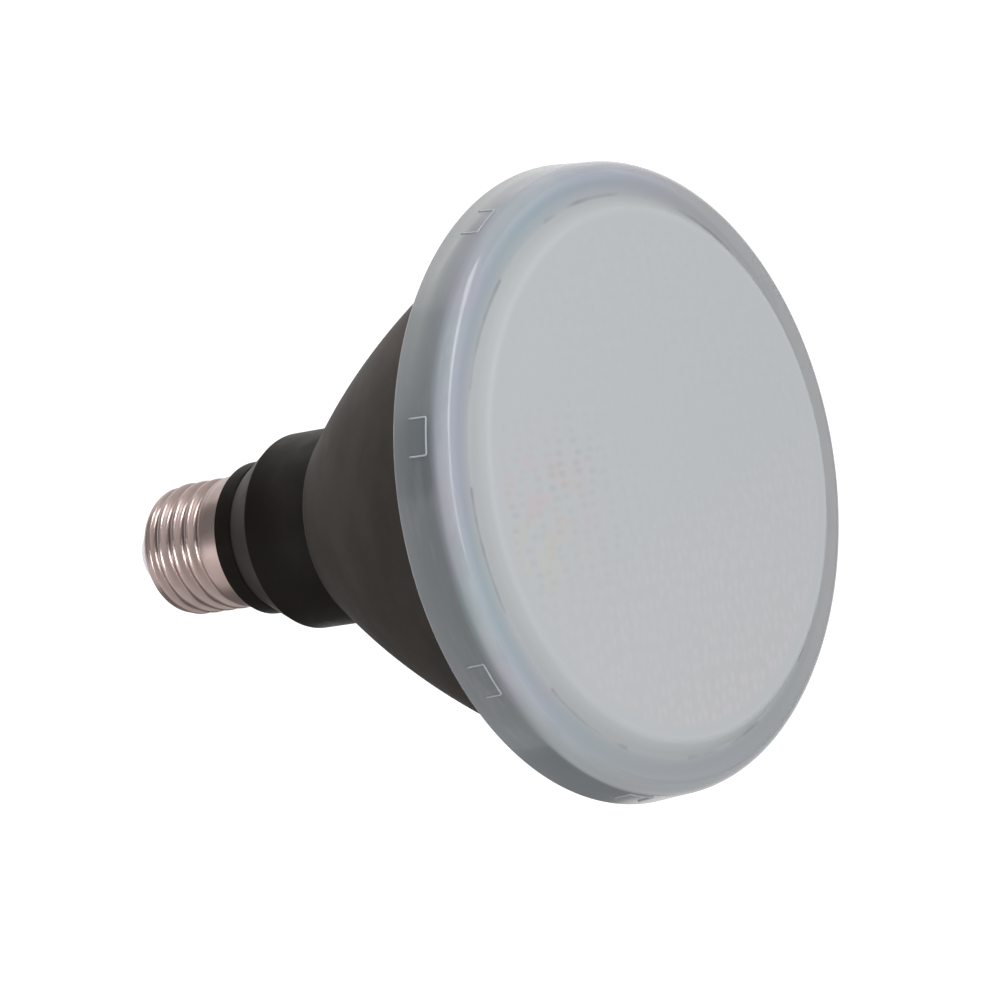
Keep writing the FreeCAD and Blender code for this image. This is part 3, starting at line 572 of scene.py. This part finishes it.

# Tones of the cover by their share of its height and by their share of faceReach, inwards from its
# shoulder; the pale line at the skirt's rear edge and the paler ring on the face near the step are painted
# highlights. Cells, the glow's centre and the two places between which each mask eases are in millimetres
frost = {"skirt": [(0.0, screen(176, 182, 188)), (0.06, screen(151, 157, 161)),
                   (0.3, screen(132, 139, 143)), (0.6, screen(123, 130, 134)),
                   (0.765, screen(133, 138, 143)), (0.84, screen(178, 181, 187)),
                   (0.93, screen(185, 190, 197)), (1.0, screen(191, 198, 206))],
         "faceReach": 14.0,
         # Painted highlight: the palest stops, near 0.6, make a soft light ring by the step
         "face": [(0.2, screen(196, 203, 216)), (0.3, screen(180, 191, 200)), (0.42, screen(194, 200, 204)),
                  (0.5, screen(200, 205, 208)), (0.6, screen(208, 212, 214)), (0.68, screen(205, 209, 211)),
                  (0.78, screen(199, 203, 206))],
         "alpha": [(0.0, 0.96), (0.05, 0.7), (0.16, 0.72), (0.3, 0.8), (0.76, 0.86)],
         "lavender": screen(186, 178, 200), "teal": screen(168, 196, 200),
         "pinkStreak": screen(160, 158, 170), "greenStreak": screen(122, 140, 144),
         "litUpperFoot": screen(188, 191, 191), "litUpperSkirt": screen(166, 166, 178),
         "farEdge": screen(180, 180, 181), "farRound": screen(140, 141, 142),
         "lowEdge": screen(180, 186, 189), "shadedLowRound": screen(148, 153, 157),
         "shadedLowSkirt": screen(112, 118, 122),
         "warm": screen(206, 202, 204), "dot": screen(150, 152, 156), "bead": screen(224, 223, 224),
         "pinkGlint": screen(214, 186, 196), "yellowGlint": screen(208, 206, 180),
         "ribUnderFace": screen(120, 122, 126), "ribInside": screen(40, 38, 36),
         "dotNet": (3.9, 2.1), "beadNet": (2.0, 3.4), "glow": (-37.0, -4.0),
         "nearGlow": (8, 26), "atGlow": (5, 20), "warmSide": (-10, 60), "farSide": (-5, 40)}


# The skirt's tone goes by height, with soft streaks of pink and green; its upper side is paler with painted
# light
def skirtTint(finish, along, side, cloud):
    colour = finish.ramp(along, frost["skirt"])
    up = finish.step(side, 0.2, 0.8)
    streak = finish.step(finish.noise(9.0, detail=2.0, stretch=(1, 1, 5)), 0.42, 0.66)
    streakTone = finish.blend(cloud, frost["pinkStreak"], frost["greenStreak"])
    colour = finish.blend(streak * 0.3, colour, streakTone)
    # Painted light: the skirt's upper side is paler, at its foot and towards its edge
    colour = finish.blend(up * (1 - finish.step(along, 0.2, 0.6)) * 0.8, colour, frost["litUpperFoot"])
    return finish.blend(up * finish.step(along, 0.35, 0.6) * 0.4, colour, frost["litUpperSkirt"])


# The face's tone goes by distance from the axis, with a paler ring near the step that is a painted
# highlight. The disc has a net of dark dots, strongest near the glow, a net of pale beads on its warm side,
# and glints of pink and yellow at the glow
def faceTint(finish, x, y, ring, cloud):
    colour = finish.ramp((lens["shoulder"] - ring) / frost["faceReach"], frost["face"])
    warm = finish.step(y * -1 + x * 0.3, *frost["warmSide"])
    onDisc = 1 - finish.step(ring, lens["disc"] - 2.2, lens["disc"] - 1.0)
    faded = finish.step(finish.noise(26.0, detail=2.0), 0.38, 0.6)
    offX, offY = x - frost["glow"][0], y - frost["glow"][1]
    away = (offX * offX + offY * offY) ** 0.5
    near = 1 - finish.step(away, *frost["nearGlow"])
    dots = (1 - finish.step(finish.net(*frost["dotNet"], 0.5), 0.05, 0.45)) * onDisc
    dots = dots * (faded * 0.7 + 0.3) * (near * 0.85 + 0.15)
    beads = (1 - finish.step(finish.net(*frost["beadNet"], 0.7), 0.1, 0.5)) * onDisc
    beads = beads * (warm * 0.8 + 0.2) * (faded * 0.4 + 0.6)
    glint = finish.step(finish.noise(5.0, detail=1.0), 0.42, 0.6)
    glint = glint * (1 - finish.step(away, *frost["atGlow"])) * onDisc
    colour = finish.blend(onDisc * warm * 0.5, colour, frost["warm"])
    colour = finish.blend(dots * 0.24, colour, frost["dot"])
    colour = finish.blend(beads * 0.24, colour, frost["bead"])
    glintTone = finish.blend(cloud, frost["pinkGlint"], frost["yellowGlint"])
    return finish.blend(glint * 0.3, colour, glintTone), dots


# 1 over the rim's ribs: their part of the way round, their part of the way out, and patches
def ribArcs(finish, x, y, ring):
    turn = finish.node("ShaderNodeMath", {"operation": "ARCTAN2"}, [y, x]) * (180 / math.pi)
    fromRib = finish.node("ShaderNodeMath", {"operation": "PINGPONG"},
                          [turn - (bell["catchAngle"] + halfSpace), halfSpace])
    arcs = 1 - finish.step(fromRib, rib["angle"] / 2 - 0.6, rib["angle"] / 2 + 0.2)
    arcs = arcs * finish.step(ring, rib["radius"] - 0.05, rib["radius"] + 0.35)
    arcs = arcs * (1 - finish.step(ring, rib["radius"] + 0.55, rib["radius"] + 1.05))
    return arcs * finish.step(finish.noise(7.0, detail=1.0), 0.3, 0.7)


# The cover is tinted along its section, by height on the skirt and edge and by radius on the face.
# Its rounded edge is lavender and teal, plainer and darker where it turns to the far side, and plainer with
# painted shade on the underside, where the skirt has painted shade too
def lensFinish():
    finish = Finish("frostedCover")
    x, y, ring, height, side = finish.places()
    cloud = finish.step(finish.noise(24.0, detail=1.5), 0.35, 0.65)
    fine = finish.noise(0.7, detail=3.0)
    along = (height - lens["rearHeight"]) / (lens["annulus"] - lens["rearHeight"])
    onFace = finish.step(height, lens["annulus"] - 0.4, lens["annulus"] - 0.05)
    offFace = 1 - onFace
    inside = 1 - finish.step(height, lens["annulus"] - 1.0, lens["annulus"] - 0.7)
    inside = inside * (1 - finish.step(ring, edgeFoot - 0.3, edgeFoot - 0.1))
    edge = finish.step(height, lens["shoulderHeight"] - 0.2, lens["shoulderHeight"] + 0.8)
    edge = edge * finish.step(ring, lens["step"] - 0.2, lens["step"] + 1.9)
    rounded = finish.step(height, lens["shoulderHeight"] + 1.0, lens["shoulderHeight"] + 1.8) * offFace
    far = finish.step(x, *frost["farSide"])
    low = 1 - finish.step(side, -0.95, -0.55)
    lowestShade = 1 - finish.step(side, -1.0, -0.8)
    face, dots = faceTint(finish, x, y, ring, cloud)
    arcs = ribArcs(finish, x, y, ring)
    colour = finish.blend(onFace, skirtTint(finish, along, side, cloud), face)
    colour = finish.blend(edge * 0.3, colour, finish.blend(cloud, frost["lavender"], frost["teal"]))
    colour = finish.blend(edge * far * 0.85, colour, frost["farEdge"])
    colour = finish.blend(rounded * far * 0.7, colour, frost["farRound"])
    colour = finish.blend(edge * low * 0.75, colour, frost["lowEdge"])
    # Painted shade: the rounded edge and the skirt are darker on the underside
    colour = finish.blend(rounded * low * 0.6, colour, frost["shadedLowRound"])
    colour = finish.blend(lowestShade * (1 - rounded) * offFace * 0.5, colour, frost["shadedLowSkirt"])
    colour = finish.blend(arcs * onFace * 0.45, colour, frost["ribUnderFace"])
    colour = finish.blend(arcs * inside, colour, frost["ribInside"])
    skirtAlpha = finish.ramp(along, frost["alpha"]) + rounded * far * 0.12 + low * offFace * 0.2
    faceAlpha = 0.8 + (1 - finish.step(ring, lens["disc"] + 0.4, lens["step"] - 0.6)) * 0.17
    coat = (rounded * 0.7 + 0.3 - onFace * 0.3) * (1 - far * 0.8) * (1 - low * 0.8)
    return finish.surface(Base_Color=colour, Alpha=finish.between(onFace, skirtAlpha, faceAlpha),
                          Roughness=fine * 0.06 + onFace * 0.3 + 0.2, IOR=1.5,
                          Coat_Weight=coat, Coat_Roughness=0.06,
                          Normal=finish.bump(dots * -0.6 + fine * 0.05, 0.05, 0.5))


rideRoot(lathe("lensCover", lensProfile, 384), "lens", lensFinish(), "lens_cover")

catch = {"foot": 119.3, "height": 3.7, "width": 7.0, "line": 0.34, "rise": 0.2, "corner": 0.35,
         "inside": 0.02, "tone": screen(182, 190, 198), "otherTone": screen(192, 199, 205),
         "lowTone": screen(178, 183, 187), "lowSide": (-57, -45)}


# A catch frame is a thin ridge of half-round section along three sides with turned corners, open
# to the rear, wrapped on the skirt: width runs round it and height along the axis. It stays
# inside the cover's largest radius
def makeFrame(angle):
    half, low, high = catch["width"] / 2, catch["foot"], catch["foot"] + catch["height"]
    corner, bend = catch["corner"], np.radians(np.linspace(0, 90, 6))
    across, up = corner * np.cos(bend), corner * np.sin(bend)
    path = np.vstack([
        np.stack([np.full(6, -half), np.linspace(low, high - corner, 6)], axis=1),
        np.stack([-half + corner - across, high - corner + up], axis=1)[1:],
        np.stack([np.linspace(-half + corner, half - corner, 10), np.full(10, high)], axis=1)[1:],
        np.stack([half - corner + up, high - corner + across], axis=1)[1:],
        np.stack([np.full(6, half), np.linspace(high - corner, low, 6)], axis=1)[1:]])
    along = np.gradient(path, axis=0)
    along /= np.linalg.norm(along, axis=1)[:, None]
    side = np.stack([-along[:, 1], along[:, 0]], axis=1)
    section = np.radians(np.linspace(-20, 200, 9))
    flat = path[:, None] + side[:, None] * (np.cos(section) * catch["line"] / 2)[None, :, None]
    share = (flat[..., 1] - lens["rearHeight"]) / (lens["shoulderHeight"] - lens["rearHeight"])
    radius = lens["rear"] + (lens["shoulder"] - lens["rear"]) * share
    radius = radius + np.sin(section)[None] * catch["rise"]
    radius = np.minimum(radius, lens["rear"] - catch["inside"])
    azimuth = flat[..., 0] / lens["shoulder"]
    points = np.stack([radius * np.cos(azimuth), radius * np.sin(azimuth), flat[..., 1]], axis=2)
    return closeEnds(gridMesh("frame", turnedPoints(points, angle), closeAround=False, closeAlong=True))


# The frames are a shade lighter than the skirt, and sink into it on the underside
def frameFinish():
    finish = Finish("frameEdge")
    y = finish.places()[1]
    low = 1 - finish.step(y, *catch["lowSide"])
    patches = finish.step(finish.noise(6.0), 0.35, 0.65)
    colour = finish.blend(patches, catch["tone"], catch["otherTone"])
    return finish.surface(Base_Color=finish.blend(low, colour, catch["lowTone"]),
                          Roughness=patches * 0.1 + 0.3, Coat_Weight=0.1, Coat_Roughness=0.12,
                          Normal=finish.bump(finish.noise(0.5, detail=2.0), 0.01))


rideRoot(joined("catchFrames", [makeFrame(angle) for angle in catchAngles]), "lens", frameFinish())
print("lens cover made")


# What lies inside keeps the frame's shapes: the material's name, its two tones, its roughness
# and whether it is metal
insideNodes = {
    "neck_screws": ("zincScrew", (176, 176, 172), (158, 158, 155), 0.35, 1.0),
    "plate_screws": ("plateScrew", (176, 176, 172), (158, 158, 155), 0.35, 1.0),
    "board_screws": ("boardScrew", (180, 180, 176), (162, 162, 158), 0.35, 1.0),
    "driver_board": ("greenMask", (38, 92, 58), (32, 82, 50), 0.4, 0.0),
    "driver_cover": ("lidPlastic", (40, 36, 33), (36, 33, 31), 0.5, 0.0),
    "transformer_core": ("ferriteCore", (52, 50, 50), (44, 43, 43), 0.6, 0.0),
    "transformer_winding": ("windingTape", (206, 178, 70), (196, 166, 60), 0.4, 0.0),
    "input_capacitor": ("canSleeve", (44, 46, 54), (38, 40, 48), 0.35, 0.0),
    "output_capacitor": ("canSleeveSmall", (44, 46, 54), (38, 40, 48), 0.35, 0.0),
    "filter_inductor": ("ferriteDrum", (50, 49, 49), (42, 42, 42), 0.6, 0.0),
    "film_capacitor": ("dippedRed", (160, 48, 34), (146, 42, 30), 0.3, 0.0),
    "bridge_rectifier": ("blackPackage", (30, 30, 31), (26, 26, 27), 0.45, 0.0),
    "control_chip": ("blackChip", (32, 32, 33), (27, 27, 28), 0.45, 0.0),
    "fuse_resistor": ("resistorCoat", (168, 176, 168), (156, 166, 158), 0.45, 0.0),
    "live_lead": ("blackSleeve", (26, 26, 26), (22, 22, 22), 0.45, 0.0),
    "neutral_lead": ("whiteSleeve", (214, 214, 210), (204, 204, 200), 0.45, 0.0),
    "positive_lead": ("redSleeve", (170, 40, 34), (158, 34, 30), 0.45, 0.0),
    "negative_lead": ("blackSleeveLong", (26, 26, 26), (22, 22, 22), 0.45, 0.0),
    "heat_plate": ("rolledSheet", (196, 198, 200), (182, 184, 186), 0.35, 1.0),
    "thermal_pad": ("softPad", (128, 132, 138), (118, 122, 128), 0.7, 0.0),
    "led_board": ("whiteMask", (226, 227, 222), (218, 219, 214), 0.4, 0.0),
    "leds": ("phosphor", (226, 196, 104), (216, 182, 90), 0.5, 0.0),
    "board_connector": ("naturalNylon", (222, 220, 210), (212, 210, 200), 0.4, 0.0),
    "reflector": ("whiteGloss", (232, 232, 228), (224, 224, 220), 0.25, 0.0),
    "lens_gasket": ("siliconeRing", (150, 150, 148), (140, 140, 138), 0.6, 0.0),
}
for node, (name, tone, otherTone, roughness, metallic) in insideNodes.items():
    made = moulded(name, screen(*tone), screen(*otherTone), roughness, size=3.0, metallic=metallic)
    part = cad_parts[node]
    part.data.materials.clear()
    part.data.materials.append(made)
print("inner pieces finished")


# The camera looks at a point on the axis at the height aim; offAxis and roll are in degrees
view = {"distance": 1.1, "offAxis": 50.56, "roll": -9.15, "aim": 0.0897, "focal": 208.08, "sensor": 36.0,
        "clipEnd": 50}
tilt, roll = math.radians(view["offAxis"]), math.radians(view["roll"])
towards = Vector((-math.sin(tilt), 0, math.cos(tilt)))          # from the bulb to the camera
level = Vector((math.cos(tilt), 0, math.sin(tilt)))
aside = Vector((0, 1, 0))
right = math.cos(roll) * level + math.sin(roll) * aside
above = -math.sin(roll) * level + math.cos(roll) * aside
cameraData = bpy.data.cameras.new("photoCamera")
cameraData.lens = view["focal"]
cameraData.sensor_width = view["sensor"]
cameraData.clip_end = view["clipEnd"]
camera = placed("photoCamera", cameraData)
place = Vector((0, 0, view["aim"])) + towards * view["distance"]
camera.matrix_world = Matrix.Translation(place) @ Matrix((right, above, towards)).transposed().to_4x4()
bpy.context.scene.camera = camera
bpy.context.scene.view_settings.view_transform = "Standard"


# A soft box looks at a point on the axis at the height aim, from this distance; it can be
# left out of reflections or of plain light
def softBox(name, direction, distance, width, height, power, colour=(1, 1, 1), aim=0.09, spread=180,
            glossy=True, diffuse=True):
    data = bpy.data.lights.new(name, "AREA")
    data.shape = "RECTANGLE"
    data.size, data.size_y = width, height
    data.energy = power
    data.color = colour
    data.spread = math.radians(spread)
    lamp = placed(name, data)
    way = Vector(direction).normalized()
    lamp.location = Vector((0, 0, aim)) + way * distance
    lamp.rotation_euler = way.to_track_quat("Z", "Y").to_euler()
    lamp.visible_camera = False
    lamp.visible_glossy, lamp.visible_diffuse = glossy, diffuse


# Three boxes light the whole bulb, a strip glints on the cover's edge, and two lamps that only
# mirrors see give the cap its upper and lower highlights
lamps = {
    "keyBox": {"direction": towards * 0.35 + above * 0.95 - right * 0.15, "distance": 1.2,
               "width": 0.9, "height": 0.9, "power": 3.0, "glossy": False},
    "bellBox": {"direction": (-0.05, 0.85, -0.5), "distance": 0.8, "width": 0.4, "height": 0.4,
                "power": 2.2, "colour": (1.0, 0.98, 0.96), "glossy": False},
    "fillBox": {"direction": right * 0.3 - above * 0.55 + towards * 0.8, "distance": 1.3,
                "width": 1.0, "height": 1.0, "power": 7.0, "colour": (1.0, 0.98, 0.96), "glossy": False},
    "edgeStrip": {"direction": (-0.05, 0.48, 0.88), "distance": 1.0, "width": 0.2, "height": 1.5,
                  "power": 3.2, "colour": (0.95, 0.97, 1.0), "aim": 0.12},
    "capUpper": {"direction": (-0.42, 0.9, -0.06), "distance": 0.4, "width": 0.45, "height": 0.05,
                 "power": 0.075, "colour": (0.94, 0.98, 1.0), "aim": 0.018, "spread": 30,
                 "diffuse": False},
    "capLower": {"direction": (-0.96, -0.11, -0.35), "distance": 0.4, "width": 0.13, "height": 0.11,
                 "power": 0.024, "colour": (0.92, 0.97, 1.0), "aim": 0.018, "spread": 20,
                 "diffuse": False},
}
for name, lamp in lamps.items():
    softBox(name, **lamp)

studio = {"ambient": 0.36, "slope": 0.16, "floorDepth": -0.6, "floorReach": 6.0, "paper": 0.62,
          "otherPaper": 0.64, "floorLift": 0.8, "cardAim": 0.03}


# One rectangle with its four corners in order
def flatMesh(name, corners):
    mesh = bpy.data.meshes.new(name)
    mesh.from_pydata(corners, [], [(0, 1, 2, 3)])
    return mesh


# A card that only mirrors see, square to a direction from the cap, for the plating's dark bands
def makeFlag(name, direction, distance, width, height, tone):
    way = Vector(direction).normalized()
    middle = Vector((0, 0, studio["cardAim"])) + way * distance
    across = way.cross(Vector((0, 0, 1))).normalized() * width / 2
    upright = way.cross(across).normalized() * height / 2
    mesh = flatMesh(name, [middle - across - upright, middle + across - upright,
                           middle + across + upright, middle - across + upright])
    card = placed(name, mesh)
    finish = Finish(name + "Card")
    grey = finish.blend(finish.noise(60.0), (tone,) * 3, (tone * 0.9,) * 3)
    mesh.materials.append(finish.shown(finish.node("ShaderNodeEmission", {}, {"Color": grey})))
    card.visible_camera = card.visible_diffuse = card.visible_transmission = False
    card.visible_shadow = card.visible_volume_scatter = False


flags = {
    "upperFlag": {"direction": (-0.62, 0.47, -0.64), "distance": 0.26, "width": 0.3, "height": 0.24,
                  "tone": 0.34},
    "middleFlag": {"direction": (-0.83, 0.25, -0.5), "distance": 0.26, "width": 0.115, "height": 0.44,
                   "tone": 0.34},
    "lowerFlag": {"direction": (0.3, -0.7, -0.64), "distance": 0.24, "width": 0.24, "height": 0.28,
                  "tone": 0.28},
}
for name, flag in flags.items():
    makeFlag(name, **flag)


# The world is white where it is looked at, and where it only lights it is a grey that grows
# with y, so that the bulb's upper side is the lighter one
def makeWorld():
    world = bpy.data.worlds.new("studio")
    bpy.context.scene.world = world
    sky = Nodes(world)
    across = sky.node("ShaderNodeSeparateXYZ", {},
                      {"Vector": sky.node("ShaderNodeTexCoord", output="Generated")}, output="Y")
    soft = sky.node("ShaderNodeBackground", {},
                    {"Color": (1, 1, 1), "Strength": across * studio["slope"] + studio["ambient"]})
    white = sky.node("ShaderNodeBackground", {}, {"Color": (1, 1, 1), "Strength": 1.0})
    shown = sky.node("ShaderNodeMixShader", {}, {0: sky.looked(), 1: soft, 2: white})
    sky.node("ShaderNodeOutputWorld", {}, {"Surface": shown})


# White paper that keeps the bulb's shadow, with a glow where it is looked at
def floorFinish():
    finish = Finish("paperFloor")
    tone = finish.blend(finish.noise(300.0), (studio["paper"],) * 3, (studio["otherPaper"],) * 3)
    paper = finish.node("ShaderNodeBsdfDiffuse", {}, {"Color": tone})
    glow = finish.node("ShaderNodeEmission", {},
                       {"Color": (1, 1, 1), "Strength": finish.looked() * studio["floorLift"]})
    return finish.shown(finish.node("ShaderNodeAddShader", {}, [paper, glow]))


makeWorld()
reach, depth = studio["floorReach"], studio["floorDepth"]
floorMesh = flatMesh("floor", [(x * reach, y * reach, depth)
                               for x, y in ((-1, -1), (1, -1), (1, 1), (-1, 1))])
floor = placed("floor", floorMesh)
floorMesh.materials.append(floorFinish())
print("camera, floor and lights set")
